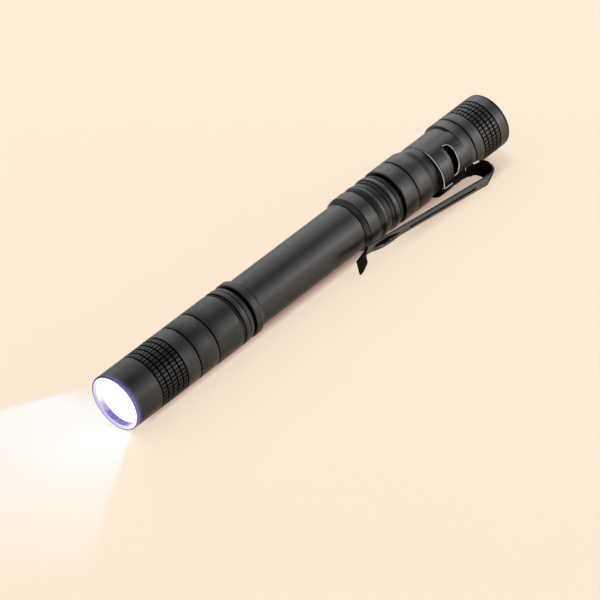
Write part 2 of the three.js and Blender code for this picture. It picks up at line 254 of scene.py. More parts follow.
def plain(name, a, b, rough, metallic=0.0, scale=3.0, spec=0.5, bump_d=0.00002, stretch=None, emit=None):
    m, nt, bsdf, out = new_mat(name)
    v = coords(nt, stretch or (1000, 1000, 1000))
    n = noise(nt, v, scale, 4, 0.6)
    nt.links.new(mixc(nt, ramp(nt, n, 0.35, 0.65, 0, 1), a, b), bsdf.inputs["Base Color"])
    nt.links.new(ramp(nt, n, 0.3, 0.7, rough[0], rough[1]), bsdf.inputs["Roughness"])
    bsdf.inputs["Metallic"].default_value = metallic
    bsdf.inputs["Specular IOR Level"].default_value = spec
    bump(nt, bsdf, noise(nt, v, scale * 5, 2), 0.25, bump_d)
    if emit:
        bsdf.inputs["Emission Color"].default_value = (*emit[0], 1)
        bsdf.inputs["Emission Strength"].default_value = emit[1]
    return m


M_BODY = anodised("anodised_body")
M_HEAD = anodised("anodised_head", painted_lamp_haze=True)


def lit_metal(name, shade, bright, lo, hi, toward, vary):
    """Rim metal with the lamp's own light painted on as emission: white, falling to a violet painted shade in one
    direction.
    """
    m, nt, bsdf, out = new_mat(name)
    v = coords(nt)
    n = noise(nt, v, 1.3, 3)
    nt.links.new(mixc(nt, ramp(nt, n, 0.3, 0.7, 0, 1), (0.012, 0.010, 0.02), (0.03, 0.025, 0.05)), bsdf.inputs["Base Color"])
    bsdf.inputs["Roughness"].default_value = 0.35
    c, r, sep = round_axis(nt, CLIP_DEG + toward)
    f = math_node(nt, "ADD", ramp(nt, c, lo, hi, 0, 1), ramp(nt, n, 0.3, 0.7, -vary, vary))
    f = math_node(nt, "MAXIMUM", math_node(nt, "MINIMUM", f, 1.0), 0.0)
    nt.links.new(mixc(nt, f, bright, shade), bsdf.inputs["Emission Color"])
    bsdf.inputs["Emission Strength"].default_value = 1.0
    bsdf.inputs["Specular IOR Level"].default_value = 0.1
    bump(nt, bsdf, noise(nt, v, 9.0, 2), 0.25, 0.00003)
    return m


M_CHAMFER = lit_metal("lit_chamfer", (0.62, 0.52, 0.98), (1.05, 1.02, 1.15), -0.1, 0.95, -125, 0.10)
M_MOUTH = lit_metal("lit_mouth", (0.155, 0.115, 0.42), (1.05, 1.03, 1.15), 0.45, 0.93, -86, 0.16)
M_CLIP = plain("blued_spring_steel", (0.007, 0.0075, 0.008), (0.012, 0.013, 0.014), (0.30, 0.40), 0.0, 1.2, 0.72, 0.00001, (300, 900, 900))
M_CLIP_SHADE = plain("clip_in_shade", (0.0012, 0.0012, 0.0014), (0.003, 0.003, 0.0034), (0.55, 0.7), 0.0, 1.2, 0.045, 0.00001, (300, 900, 900))
# lighter copy of the clip steel: painted highlight for the upper half of the arm
M_CLIP_PAINTED_SHEEN = plain("clip_painted_highlight", (0.060, 0.075, 0.092), (0.085, 0.102, 0.122), (0.42, 0.52), 0.0, 1.5, 0.3, 0.00001, (200, 900, 900))
# bare sheared steel with a painted glint, as emission
M_CUT_GLINT = plain("sheared_edge_painted_glint", (0.62, 0.62, 0.63), (0.85, 0.85, 0.86), (0.35, 0.5), 0.0, 3.0, 0.9, emit=((1.0, 0.99, 0.97), 0.31))
M_RUBBER = plain("matt_rubber", (0.012, 0.012, 0.013), (0.022, 0.022, 0.023), (0.7, 0.85), 0.0, 8.0, 0.35, 0.00006)
M_STEEL = plain("nickel_steel", (0.55, 0.56, 0.58), (0.68, 0.69, 0.70), (0.22, 0.34), 1.0, 5.0)
M_CELL = plain("cell_nickel", (0.60, 0.61, 0.63), (0.72, 0.73, 0.74), (0.25, 0.36), 1.0, 4.0, stretch=(150, 2500, 2500))
M_SLEEVE = plain("cell_sleeve_film", (0.035, 0.10, 0.28), (0.05, 0.13, 0.33), (0.22, 0.30), 0.0, 1.5, 0.6)
M_BRASS = plain("turned_brass", (0.60, 0.42, 0.15), (0.74, 0.54, 0.22), (0.25, 0.38), 1.0, 4.0, stretch=(5000, 120, 120))
M_PCB = plain("green_board", (0.012, 0.10, 0.04), (0.02, 0.15, 0.06), (0.35, 0.5), 0.0, 3.0)
M_STAR = plain("white_mask_board", (0.72, 0.73, 0.72), (0.82, 0.83, 0.82), (0.4, 0.5), 0.0, 4.0)
M_CERAMIC = plain("led_ceramic", (0.80, 0.80, 0.76), (0.88, 0.88, 0.85), (0.4, 0.5), 0.0, 6.0)
M_DOME = plain("led_dome", (0.9, 0.88, 0.98), (1, 0.98, 1), (0.08, 0.12), 0.0, 3.0, emit=((0.93, 0.92, 1.0), 6.0))
M_MIRROR = plain("metallised_reflector", (0.86, 0.86, 0.88), (0.93, 0.93, 0.95), (0.05, 0.10), 1.0, 8.0)
M_PLASTIC = plain("black_moulding", (0.016, 0.016, 0.017), (0.028, 0.028, 0.03), (0.5, 0.65), 0.0, 6.0)
M_WHITE = plain("ivory_moulding", (0.62, 0.59, 0.52), (0.72, 0.69, 0.62), (0.45, 0.6), 0.0, 5.0)
M_RED = plain("red_insulation", (0.35, 0.015, 0.012), (0.5, 0.03, 0.02), (0.4, 0.55), 0.0, 5.0)
M_BLACKWIRE = plain("black_insulation", (0.012, 0.012, 0.012), (0.022, 0.022, 0.022), (0.4, 0.55), 0.0, 5.0)


def lens_material():
    m, nt, bsdf, out = new_mat("lit_window")
    tc = nt.nodes.new("ShaderNodeTexCoord")
    sep = nt.nodes.new("ShaderNodeSeparateXYZ")
    nt.links.new(tc.outputs["Object"], sep.inputs[0])
    dy = math_node(nt, "SUBTRACT", sep.outputs["Y"], AY)
    dz = math_node(nt, "SUBTRACT", sep.outputs["Z"], AZ)
    r = math_node(nt, "SQRT", math_node(nt, "ADD", math_node(nt, "MULTIPLY", dy, dy), math_node(nt, "MULTIPLY", dz, dz)))
    n = noise(nt, coords(nt), 0.8, 2)
    edge = ramp(nt, r, 0.0052, 0.0062, 0, 1)
    col = mixc(nt, edge, (1.0, 1.0, 1.0), (0.80, 0.74, 1.0))
    nt.links.new(mixc(nt, ramp(nt, n, 0.3, 0.7, 0, 1), (0.90, 0.90, 0.93), (0.95, 0.95, 0.97)), bsdf.inputs["Base Color"])
    nt.links.new(col, bsdf.inputs["Emission Color"])
    nt.links.new(math_node(nt, "SUBTRACT", 2.6, math_node(nt, "MULTIPLY", edge, 1.1)), bsdf.inputs["Emission Strength"])
    bsdf.inputs["Roughness"].default_value = 0.05
    return m


M_LENS = lens_material()


def dress(node, mat):
    ob = frame["nodes"][node]
    if not ob.material_slots:
        raise RuntimeError(node + " has no material slot")
    for sl in ob.material_slots:
        sl.material = mat


# ---------------------------------------------------------------- knurled columns
PITCHES = 45
def knurl_columns(phase):
    c, k = [], []
    for p in range(PITCHES):
        for f, d in ((-0.5, 0), (-0.3, 0), (-0.17, 0.0), (-0.10, 0.17), (0.0, 0.17), (0.10, 0.17), (0.17, 0.0), (0.3, 0)):
            c.append(2 * math.pi * (p + f) / PITCHES + math.radians(phase))
            k.append(d)
    return c, k


cols, cut = knurl_columns(3.1)
cols_cap, cut_cap = knurl_columns(5.05)


def groove(s, r, w, d, wear_and_shade=0.35):
    """Turned groove with slightly broken edges and painted shade on its floor."""
    return [(s - w - 0.06, r, 0, wear_and_shade * 0.5), (s - w, r - 0.03, 0, wear_and_shade), (s - w + 0.015, r - 0.07, 0, -0.7), (s - w + 0.03, r - d, 0, -1), (s + w - 0.03, r - d, 0, -1),
            (s + w - 0.015, r - 0.07, 0, -0.7), (s + w, r - 0.03, 0, wear_and_shade), (s + w + 0.06, r, 0, wear_and_shade * 0.5)]


def line(s, r0, r1, w=0.09, d=0.1):
    """Fine line where two turned faces meet: a narrow slit with painted shade in it."""
    return [(s - w - 0.03, r0, 0, 0.2), (s - w, r0 - 0.03, 0, -0.6), (s - w / 2, min(r0, r1) - d, 0, -1), (s + w / 2, min(r0, r1) - d, 0, -1), (s + w, r1 - 0.03, 0, -0.6), (s + w + 0.03, r1, 0, 0.2)]


def knurl(rows, r, w=0.21, d=0.36):
    """Grooves at rows with a band of cut pads between each pair, with painted shade in the grooves and cuts and faintly
    on the pads.
    """
    out = []
    for i, s in enumerate(rows):
        first, last = i == 0, i == len(rows) - 1
        left = [(s - w - 0.05, r, 0, 0.2), (s - w, r - 0.03, 0, 0.2)] if first else [(s - w - 0.25, r, 1, -0.2), (s - w - 0.05, r - 0.01, 0.8, 0.1), (s - w, r - 0.05, 0.3, 0.0)]
        right = [(s + w, r - 0.03, 0, 0.2), (s + w + 0.05, r, 0, 0.2)] if last else [(s + w, r - 0.05, 0.3, 0.0), (s + w + 0.05, r - 0.01, 0.8, 0.1), (s + w + 0.25, r, 1, -0.2)]
        out += left + [(s - w + 0.02, r - 0.09, 0, -0.8), (s - w + 0.04, r - d, 0, -1), (s + w - 0.04, r - d, 0, -1), (s + w - 0.02, r - 0.09, 0, -0.8)] + right
        if not last:
            mid = (s + rows[i + 1]) / 2
            out.append((mid, r, 1, -0.2))
    return out


def paint_side_shade(ob, amount):
    """Painted shade on the side that lies against table and clip, fading out round the pen."""
    att = ob.data.attributes["wear_and_shade"]
    for i, v in enumerate(ob.data.vertices):
        psi = (math.degrees(math.atan2(v.co.z - AZ, v.co.y - AY) - CLIP) + 180) % 360 - 180
        if psi > 30 or psi < -115 or att.data[i].value < -0.58:
            continue
        f = min(1.0, (30 - psi) / 30, (psi + 115) / 50)
        att.data[i].value -= amount * f * f * (3 - 2 * f)


# ---------------------------------------------------------------- lamp head
R = BIG
HEAD_END = (X_LENS - head_lo[0]) * 1000
# negative fourth entries paint shade: on the front face of the rim round the mouth, in the knurl, the grooves and the
# steps behind the head
head_prof = [
    (3.65, 6.22), (0.36, 6.22), (0.30, 6.30), (0.05, 6.78), (0.0, 6.86, 0, -1), (0.0, 7.04, 0, -1), (0.06, 7.15, 0, -1), (0.2, R, 0, -0.8), (0.32, R, 0, 0),
    (4.0, R), *knurl([8.6, 10.3, 12.0, 13.65, 15.3, 16.95], R),
    *groove(21.35, R, 0.21, 0.38), (24.4, R), *groove(27.55, R, 0.21, 0.38), (31.0, R), (33.6, R, 0, 0),
    (35.5, R, 0, 0.1), (35.63, R - 0.02, 0, 0.3), (35.68, R - 0.08, 0, -0.6), (35.73, 6.74, 0, -1), (35.82, 6.7, 0, -1), (35.88, 6.75, 0, -0.3), (36.3, 6.98, 0, 0.2), (36.42, 7.05, 0, 0.3),
    (36.48, 7.0, 0, -0.7), (36.54, 6.86, 0, -1), (36.76, 6.86, 0, -1), (36.82, 7.05, 0, -0.5), (36.9, R - 0.04, 0, 0.3), (37.05, R), (37.9, R, 0, 0.25), (38.1, R, 0, 0.3),
    *line(38.32, R, R - 0.05, 0.13, 0.14), (38.6, R - 0.08, 0, 0.1), (39.45, 6.95, 0, 0.1), (39.6, 6.9, 0, 0.3), (39.68, 6.82, 0, -0.5), (HEAD_END - 0.03, 6.62, 0, -1), (HEAD_END, 6.55, 0, -1),
    (HEAD_END, 6.0), (27.9, 6.0), (27.9, 6.1), (3.65, 6.1),
]
head = lathe("head_shell", head_prof, cols, cut, sharp=30)
paint_side_shade(head, 0.66)
head.data.materials.append(M_HEAD)
head.data.materials.append(M_CHAMFER)
head.data.materials.append(M_MOUTH)
# painted lamp light on the chamfer round the lens and on the wall of the mouth
for f in head.data.polygons:
    fs = (X_LENS - f.center.x) * 1000
    fr = math.hypot(f.center.y - AY, f.center.z - AZ) * 1000
    if fs < 0.34 and 6.25 < fr < 6.83:
        f.material_index = 1
    elif fs < 3.6 and fr < 6.3:
        f.material_index = 2
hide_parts("head_bezel")
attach(head, "head")

# ---------------------------------------------------------------- battery tube
tube_lo, tube_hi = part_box("barrel_tube")
T0 = (X_LENS - tube_hi[0]) * 1000
T1 = (X_LENS - tube_lo[0]) * 1000
# negative fourth entries paint shade in the grooves and steps along the tube
tube_prof = [
    (T0, 5.45), (T0, 5.80), (T0 + 0.12, 5.92)]
s = T0 + 0.4
while s < 36.8:   # front screw thread
    tube_prof += [(s, 5.92), (s + 0.2, 5.74), (s + 0.3, 5.74), (s + 0.5, 5.92)]
    s += 0.62
tube_prof += [
    (37.4, 5.92), (37.45, 5.6), (38.75, 5.6), (38.8, 5.92),
    (40.28, 5.92, 0, -1), (40.3, 6.3, 0, -1), (40.5, 6.36, 0, -1), (40.56, 6.88, 0, -0.4), (40.62, 7.0, 0, 0.55), (40.78, R - 0.03, 0, 0.6), (40.92, R, 0, 0.15), (41.6, R),
    (42.35, R, 0, 0.15), (42.46, R - 0.02, 0, 0.5), (42.55, R - 0.08, 0, 0.3), (42.62, 7.0, 0, -0.5), (42.72, 6.86, 0, -0.7), (42.85, 6.62, 0, -0.4), (43.0, 6.5), (43.4, 6.42), (44.0, 6.38), (44.8, 6.37),
    (50, 6.37), (60, 6.37), (70, 6.37), (79.15, 6.37), (79.28, 6.36, 0, 0.1), (79.34, 6.3, 0, -0.9), (79.42, 6.22, 0, -1), (79.56, 6.24, 0, -1), (79.64, 6.38, 0, -0.4), (79.72, 6.46, 0, 0.15), (80.1, 6.72, 0, 0.1), (80.5, 6.98, 0, 0.25),
    *line(80.74, 7.06, 7.1, 0.11, 0.1), (81.0, 7.12), (82.4, 7.12),
    (84.15, 7.12, 0, 0.1), (84.33, 7.08, 0, 0.35), (84.42, 7.0, 0, -0.3), (84.56, 6.66, 0, -1), (84.82, 6.5, 0, -1), (85.0, 6.54, 0, -0.6), (85.2, 6.66, 0, 0), (85.5, 6.82, 0, -0.1), (85.95, 6.98, 0, -0.35), (86.3, 7.07, 0, 0.1), (86.5, 7.12, 0, 0.45),
    (86.85, 7.12, 0, 0.5), *line(87.1, 7.09, 7.06, 0.1, 0.1), (87.3, 7.03), (88.5, 6.76), (88.68, 6.7, 0, 0), (88.76, 6.6, 0, -0.8), (88.84, 6.5, 0, -1), (88.98, 6.5, 0, -0.9), (89.08, 6.58, 0, -0.1), (89.5, 6.84, 0, 0.25),
    (89.6, 6.87, 0, -0.2), (89.7, 6.86, 0, -0.9), (89.95, 6.92, 0, -0.9), (90.06, 7.02, 0, -0.1), (90.2, 7.1, 0, 0.15), (90.4, 7.12),
    (90.8, 7.12, 0, 0.45), (91.15, 7.12, 0, 0.5), *line(91.42, 7.08, 7.04, 0.13, 0.12), (91.65, 7.0), (92.62, 6.72), (92.76, 6.66), (92.84, 6.5, 0, -0.9), (92.92, 6.36, 0, -1), (93.6, 6.36, 0, -1), (93.68, 6.7, 0, -1), (93.74, 6.96, 0, -0.2), (93.84, 7.1, 0, 0.6), (94.0, R - 0.02, 0, 0.5), (94.15, R - 0.02),
    (96.0, R - 0.02), *groove(98.4, R - 0.02, 0.21, 0.38),
    (101.0, R - 0.02), (102.8, R - 0.02, 0, 0.2), (102.9, R - 0.04, 0, 0.6), (103.0, R - 0.07, 0, 0.25), (103.9, 6.86), (104.4, 6.71), (104.8, 6.62), (105.35, 6.6), (105.5, 6.5), (106.7, 6.5), (106.8, 6.62), (108.0, 6.62),
    (110, 6.62), (111.5, 6.62), (111.6, 6.62), (111.62, 6.62), (112.6, 6.62), (114.0, 6.62), (115.9, 6.62), (115.92, 6.62), (116.2, 6.62), (116.28, 5.92), (118.6, 5.92), (118.65, 5.6), (119.95, 5.6), (120.0, 5.92),
    (121.2, 5.92), (T1 - 0.1, 5.92), (T1, 5.82), (T1, 5.45)]
tube = lathe("battery_tube", tube_prof, sharp=30)
# milled pocket in the tube wall below each window of the clip, its floor painted black as shade
tube_shade_att = tube.data.attributes["wear_and_shade"]
for i, v in enumerate(tube.data.vertices):
    vs = (X_LENS - v.co.x) * 1000
    vr = math.hypot(v.co.y - AY, v.co.z - AZ) * 1000
    psi = (math.degrees(math.atan2(v.co.z - AZ, v.co.y - AY) - CLIP) + 180) % 360 - 180
    if 111.61 < vs < 115.91 and vr > 6.3 and 5 < abs(psi) < 77:
        k = 6.02 / vr
        v.co.y = AY + (v.co.y - AY) * k
        v.co.z = AZ + (v.co.z - AZ) * k
        tube_shade_att.data[i].value = -1.0
    # painted shadow on the tube just in front of the band's front edge
    elif 105.3 < vs < 106.75 and -90 < psi < 82:
        tube_shade_att.data[i].value = -0.62
paint_side_shade(tube, 0.78)
tube.data.set_sharp_from_angle(angle=math.radians(30))
tube.data.materials.append(M_BODY)
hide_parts("barrel_tube")
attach(tube, "tube")

# ---------------------------------------------------------------- tail cap
C0 = (X_LENS - cap_hi[0]) * 1000
C1 = (X_LENS - cap_lo[0]) * 1000
# negative fourth entries paint shade in the groove, the knurl and on the rounded rim at the tail end
cap_prof = [
    (C0, 6.0), (C0, R - 0.12, 0, 0.1), (C0 + 0.04, R - 0.05, 0, 0.5), (C0 + 0.12, R, 0, 0.3), (117.8, R),
    *groove(119.5, R, 0.21, 0.38), (121.2, R), *knurl([122.75, 124.2, 125.7, 127.15, 128.6], R), (130.2, R),
    (C1 - 0.8, R, 0, 0), (C1 - 0.62, R, 0, -0.8), (C1 - 0.22, R - 0.02, 0, -1), (C1 - 0.1, R - 0.09, 0, -1), (C1 - 0.03, R - 0.18, 0, -0.9), (C1, R - 0.28, 0, -0.4), (C1, 4.95), (C1 - 0.06, 4.8, 0, 0.3), (C1 - 0.25, 4.55, 0, 0.1), (C1 - 0.5, 4.5),
    (C1 - 1.35, 4.5), (C1 - 1.35, 6.0),
]
cap = lathe("cap_shell", cap_prof, cols_cap, cut_cap, sharp=30)
paint_side_shade(cap, 0.78)
cap.data.materials.append(M_BODY)
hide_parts("tail_cap")
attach(cap, "cap")

# ---------------------------------------------------------------- switch boot
b_lo, b_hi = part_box("switch_boot")
B0 = (X_LENS - b_hi[0]) * 1000
B1 = (X_LENS - b_lo[0]) * 1000
boot = lathe("rubber_boot", [
    (B0, 0), (B0, 2.9), (B0 + 0.6, 2.9), (B0 + 0.6, 5.6), (B0 + 1.45, 5.6), (B0 + 1.45, 4.3), (B0 + 1.62, 4.15), (B0 + 1.8, 4.1), (B0 + 2.0, 4.02), (B0 + 2.18, 3.8), (B0 + 2.3, 3.5),
    (B0 + 2.38, 3.1), (B0 + 2.34, 2.95), (B0 + 2.34, 2.8), (B0 + 2.42, 2.65), (B1 - 0.05, 1.9), (B1, 0.9), (B1, 0)], [2 * math.pi * i / 96 for i in range(96)], closed=False)
boot.data.materials.append(M_RUBBER)
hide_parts("switch_boot")
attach(boot, "button")

# ---------------------------------------------------------------- lens
l_lo, l_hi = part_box("front_lens")
L0 = (X_LENS - l_hi[0]) * 1000
L1 = (X_LENS - l_lo[0]) * 1000
lens = lathe("window", [(L0, 0), (L0, 3.0), (L0, 6.02), (L0 + 0.08, 6.09), (L1 - 0.1, 6.09), (L1, 6.0), (L1, 0)], [2 * math.pi * i / 128 for i in range(128)], closed=False)
lens.data.materials.append(M_LENS)
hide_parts("front_lens")
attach(lens, "head")

# ---------------------------------------------------------------- pocket clip
TH = 0.5
CLIP_M = Matrix.Translation((0, AY, AZ)) @ Matrix.Rotation(CLIP, 4, "X")


def clip_point(s, r, t):
    """s along the pen, r out along the clip's direction, t across it (upwards), all in mm."""
    return CLIP_M @ Vector((X_LENS - s / 1000, r / 1000, t / 1000))


def oblique(s, t):
    """The fold across the strip runs slightly askew, so the lower edge turns back sooner."""
    return s - 2.1 * max(0.0, min(1.0, (s - 115.0) / 4.9)) * (1.65 - t) / 3.3


def smooth_path(pts, step=0.35):
    """Catmull-Rom through (s, r, half width) points, resampled evenly."""
    out = []
    P = [pts[0]] + list(pts) + [pts[-1]]
    for i in range(1, len(P) - 2):
        a, b, c, d = P[i - 1], P[i], P[i + 1], P[i + 2]
        n = max(1, int(math.hypot(c[0] - b[0], c[1] - b[1]) / step))
        for k in range(n):
            t = k / n
            out.append(tuple(0.5 * ((2 * b[m]) + (-a[m] + c[m]) * t + (2 * a[m] - 5 * b[m] + 4 * c[m] - d[m]) * t * t + (-a[m] + 3 * b[m] - 3 * c[m] + d[m]) * t ** 3) for m in range(3)))
    out.append(tuple(pts[-1]))
    return out


def strip(name, path, across, press):
    n, m = len(path), len(across)
    verts, faces = [], []
    for i in range(n):
        a, b = path[max(i - 1, 0)], path[min(i + 1, n - 1)]
        ds, dr = b[0] - a[0], b[1] - a[1]
        L = math.hypot(ds, dr)
        ns, nr = -dr / L, ds / L
        for side in (1, -1):
            for v in (across if side == 1 else across[::-1]):
                edge = 0.06 if abs(v) > 0.995 else 0.0
                k = side * (TH / 2 - edge) + press(path[i][0], v * path[i][2], i)
                w = path[i][2] * v
                verts.append(clip_point(oblique(path[i][0] + ns * k, w), path[i][1] + nr * k, w))
    ring = 2 * m
    for i in range(n - 1):
        for j in range(ring):
            q = (j + 1) % ring
            faces.append((i * ring + j, i * ring + q, (i + 1) * ring + q, (i + 1) * ring + j))
    for o in (0, (n - 1) * ring):
        for j in range(m - 1):
            faces.append((o + j, o + j + 1, o + ring - 2 - j, o + ring - 1 - j))
    return mesh_object(name, verts, faces, None, 40)


BC, BR = (117.7, 10.8), 2.35


def bend(deg, w):
    return (BC[0] + BR * math.sin(math.radians(deg)), BC[1] - BR * math.cos(math.radians(deg)), w)


def mid(s):
    return 8.49 + 0.124 * (s - 80)


def wid(s):
    return 1.36 + 0.3 * (s - 80) / 32


arm_path = [bend(d, 1.65) for d in (91.2, 100, 110, 120, 130, 140, 150, 160, 168)]
arm_path += [(117.2, mid(117.2), 1.65), (115.3, mid(115.3), 1.66)]
arm_path = arm_path + [(x, mid(x), wid(x)) for x in (113, 112.6, 112.2, 111.8, 110, 108, 106, 104, 102, 100, 98, 96, 94, 92.5, 91.8, 91.2, 90.6, 90, 89, 88.4, 87.9, 87.4, 86.8, 86, 85, 84, 83, 82, 81.2, 80.6, 80.1, 79.6, 79)]
tip = smooth_path([(79, mid(79), 1.34), (78.2, mid(78.2), 1.36), (77.7, mid(77.7) + 0.02, 1.4), (77.2, 8.28, 1.36), (76.7, 8.72, 1.4), (75.8, 9.45, 1.55), (74.4, 10.02, 1.72), (73.2, 10.4, 1.86), (72.1, 10.65, 1.88)], 0.3)
arm_path += tip[1:]


def leaf_half(s):
    return 1.08 * math.sin(math.pi * ((s - 79.4) / 8.8) ** 0.8) if 79.4 < s < 88.2 else 0.0


def arm_press(s, t, i):
    """Offset of the sheet towards the pen in mm at s, t."""
    k = 0.0
    half = wid(s)
    v = t / half
    # stiffening fold standing away from the pen, with a line pressed in along it
    if 90.2 < s < 113.4:
        e = min(1.0, (s - 90.2) / 1.2, (113.4 - s) / 1.2)
        k -= 0.22 * e * (1 - (v + 0.15) / 1.15 if v > -0.15 else 1 - (-0.15 - v) / 0.85)
    if 91.0 < s < 112.4:
        e = min(1.0, (s - 91.0) / 0.5, (112.4 - s) / 0.5)
        k += 0.15 * e * max(0.0, min(1.0, (0.29 - abs(v + 0.08)) / 0.05))
    # leaf-shaped dimple near the tip, its lower lip pushed away from the pen
    h = leaf_half(s)
    if h > 0:
        if abs(t) < h:
            k += 0.6 * (h / 1.08) ** 0.6 * (1 - (t / h) ** 2)
        k -= 0.55 * (h / 1.08) * max(0.0, -v) ** 2
    # the blade at the end leans over
    if s < 77.2:
        k += 0.36 * t * min(1.0, (77.2 - s) / 1.4)
    return k


fine = [-1, -0.97, -0.88, -0.78, -0.7, -0.62, -0.54, -0.46, -0.39, -0.35, -0.31, -0.28, -0.24, -0.15, -0.06, -0.02, 0.01, 0.05, 0.12, 0.2, 0.3, 0.4, 0.5, 0.6, 0.7, 0.8, 0.9, 0.97, 1]
arm = strip("clip_spring_arm", arm_path, fine, arm_press)
arm.data.materials.append(M_CLIP)
arm.data.materials.append(M_CLIP_SHADE)
arm.data.materials.append(M_CLIP_PAINTED_SHEEN)
inv = CLIP_M.inverted()
# painted shade on the inner face of the bend, the pressed line, the leaf dimple and the blade at the tip
for f in arm.data.polygons:
    q = inv @ f.center
    nn = inv.to_3x3() @ f.normal
    fs, frr, ft = (X_LENS - q.x) * 1000, q.y * 1000, q.z * 1000
    inner = fs > 117.0 and abs(nn.z) < 0.6
    grv = 91.0 < fs < 112.4 and abs(ft / wid(fs) + 0.08) < 0.28 and abs(nn.z) < 0.9
    leaf = leaf_half(fs) > 0 and abs(ft) < leaf_half(fs) * 0.86 and abs(nn.z) < 0.98
    if inner or grv or leaf or fs < 77.9:
        f.material_index = 1
    # painted highlight on the upper half of the arm
    elif ft / wid(fs) > -0.02 and nn.z < 0.8 and 78.5 < fs < 117.0:
        f.material_index = 2
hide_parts("clip_arm")
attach(arm, "arm")

# band: curved sheet with a rounded window in each wing, and the leg that runs into the U-bend
S0, S1 = 106.7, 116.15
WE = 94.0


def wing_r(deg):
    if deg > 66:
        return 7.37 - 0.5 * ((deg - 66) / 28) ** 1.3
    if deg > 0:
        return 7.37 + 0.63 * (1 - (deg / 66) ** 1.4)
    return 7.19 + 0.81 * max(0.0, 1 - (deg / 58) ** 2)


def wing_t(deg):
    return TH if deg < 66 else TH - 0.28 * (deg - 66) / 28


def solid_from_rings(name, rings):
    verts = [p for r in rings for p in r]
    m = len(rings[0])
    faces = []
    for i in range(len(rings) - 1):
        for j in range(m):
            q = (j + 1) % m
            faces.append((i * m + j, i * m + q, (i + 1) * m + q, (i + 1) * m + j))
    faces.append(tuple(range(m))[::-1])
    faces.append(tuple(range((len(rings) - 1) * m, len(rings) * m)))
    return mesh_object(name, verts, faces, None, 40)


def on_band(s, deg, r):
    a = math.radians(deg)
    return clip_point(s, r * math.cos(a), r * math.sin(a))


rings = []
N = 94
for i in range(N + 1):
    d = -WE + 2 * WE * i / N
    ro = wing_r(d)
    ri = ro - wing_t(d)
    rings.append([on_band(S0, d, ro - 0.12), on_band(S0 + 0.16, d, ro), on_band(109.5, d, ro), on_band(S1, d, ro), on_band(S1, d, ri), on_band(S0 + 0.1, d, ri), on_band(S0, d, ri + 0.07)])
band = solid_from_rings("clip_grip_band", rings)

leg = []
leg_path = [(114.2, 7.75, 1.95), (115.2, 7.8, 1.95), (116.0, 7.98, 1.95), (116.6, 8.16, 1.95), (117.1, 8.36, 1.95)] + [bend(d, 1.95 - 0.3 * d / 90) for d in (0, 8, 16, 24, 32, 40, 48, 56, 64, 72, 80, 88.8)]
leg_ob = strip("leg_tool", leg_path, [-1, -0.5, 0, 0.5, 1], lambda s, t, i: 0.0)


def window_tool(name, sign):
    """D-shaped window, cut from inside the band outwards."""
    outline = [(110.25, 72.5), (110.5, 74.6), (111.4, 75.2), (112.3, 73.4), (112.85, 70.0), (113.15, 65.0), (113.25, 58.0), (113.2, 50.0), (113.0, 40.0), (112.75, 30.0),
               (112.45, 23.0), (112.05, 18.0), (111.5, 14.8), (110.9, 13.6), (110.4, 14.2), (110.2, 16.5)]
    dense = []
    for (p0, q0), (p1, q1) in zip(outline, outline[1:] + outline[:1]):
        n = max(1, int(abs(q1 - q0) / 3))
        dense += [(p0 + (p1 - p0) * j / n, q0 + (q1 - q0) * j / n) for j in range(n)]
    rings = [[on_band(s_, sign * a_, r_) for s_, a_ in dense] for r_ in (6.2, 6.9, 7.1, 7.3, 7.5, 7.7, 7.9, 8.8)]
    return solid_from_rings(name, rings)


tools = [("UNION", leg_ob), ("DIFFERENCE", window_tool("w_up", 1)), ("DIFFERENCE", window_tool("w_dn", -1))]
for op, tool in tools:
    mod = band.modifiers.new(op, "BOOLEAN")
    mod.operation = op
    mod.solver = "EXACT"
    mod.object = tool
bpy.context.view_layer.update()
dg = bpy.context.evaluated_depsgraph_get()
me = bpy.data.meshes.new_from_object(band.evaluated_get(dg))
band.modifiers.clear()
band.data = me
for _, tool in tools:
    bpy.data.objects.remove(tool)
bv = band.modifiers.new("edge", "BEVEL")
bv.width = 0.00006
bv.segments = 2
bv.limit_method = "ANGLE"
bv.angle_limit = math.radians(40)
me.shade_smooth()
me.set_sharp_from_angle(angle=math.radians(35))
band.data.materials.clear()
band.data.materials.append(M_CLIP)
band.data.materials.append(M_CLIP_SHADE)
band.data.materials.append(M_CUT_GLINT)
for f in me.polygons:
    q = inv @ f.center
    nn = inv.to_3x3() @ f.normal
    fs, frr, ft = (X_LENS - q.x) * 1000, q.y * 1000, q.z * 1000
    rad = math.hypot(frr, ft)
    out_n = (nn.y * frr + nn.z * ft) / rad
    deg = math.degrees(math.atan2(ft, frr))
    f.material_index = 0
    if fs < S0 + 0.02 and nn.x > 0.9:
        f.material_index = 2 if deg > 1 else 1                  # sheared front edge with a painted glint, painted shade below the lower wing's start
    elif 109.9 < fs < 114.2 and abs(out_n) < 0.5 and 6 < abs(deg) < 77 and rad < 8.3:
        f.material_index = 2 if deg > 0 and rad > wing_r(deg) - 0.3 and (fs > 111.2 or deg < 60) else 1      # window walls: painted glint along their outer edge, painted shade elsewhere
    elif fs < 109.5 and 0.6 < deg < 2.9 and out_n > 0.5:
        f.material_index = 2                                    # painted highlight along the crease above the lower wing
    elif fs > S1 + 0.02:
        f.material_index = 2 if nn.z > 0.7 and 116.4 < fs < 118.4 and ft > 0 else 1    # leg and bend in painted shade, with a painted glint on the upper edge of the leg where it enters the bend
    elif deg < 12.0 and abs(nn.x) < 0.9:
        f.material_index = 1                                    # lower wing in painted shade, as it turns away from the light
    elif out_n < -0.5 and fs < S1:
        f.material_index = 1                                    # painted shade on the underside of the sheet
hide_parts("clip_band")
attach(band, "band")

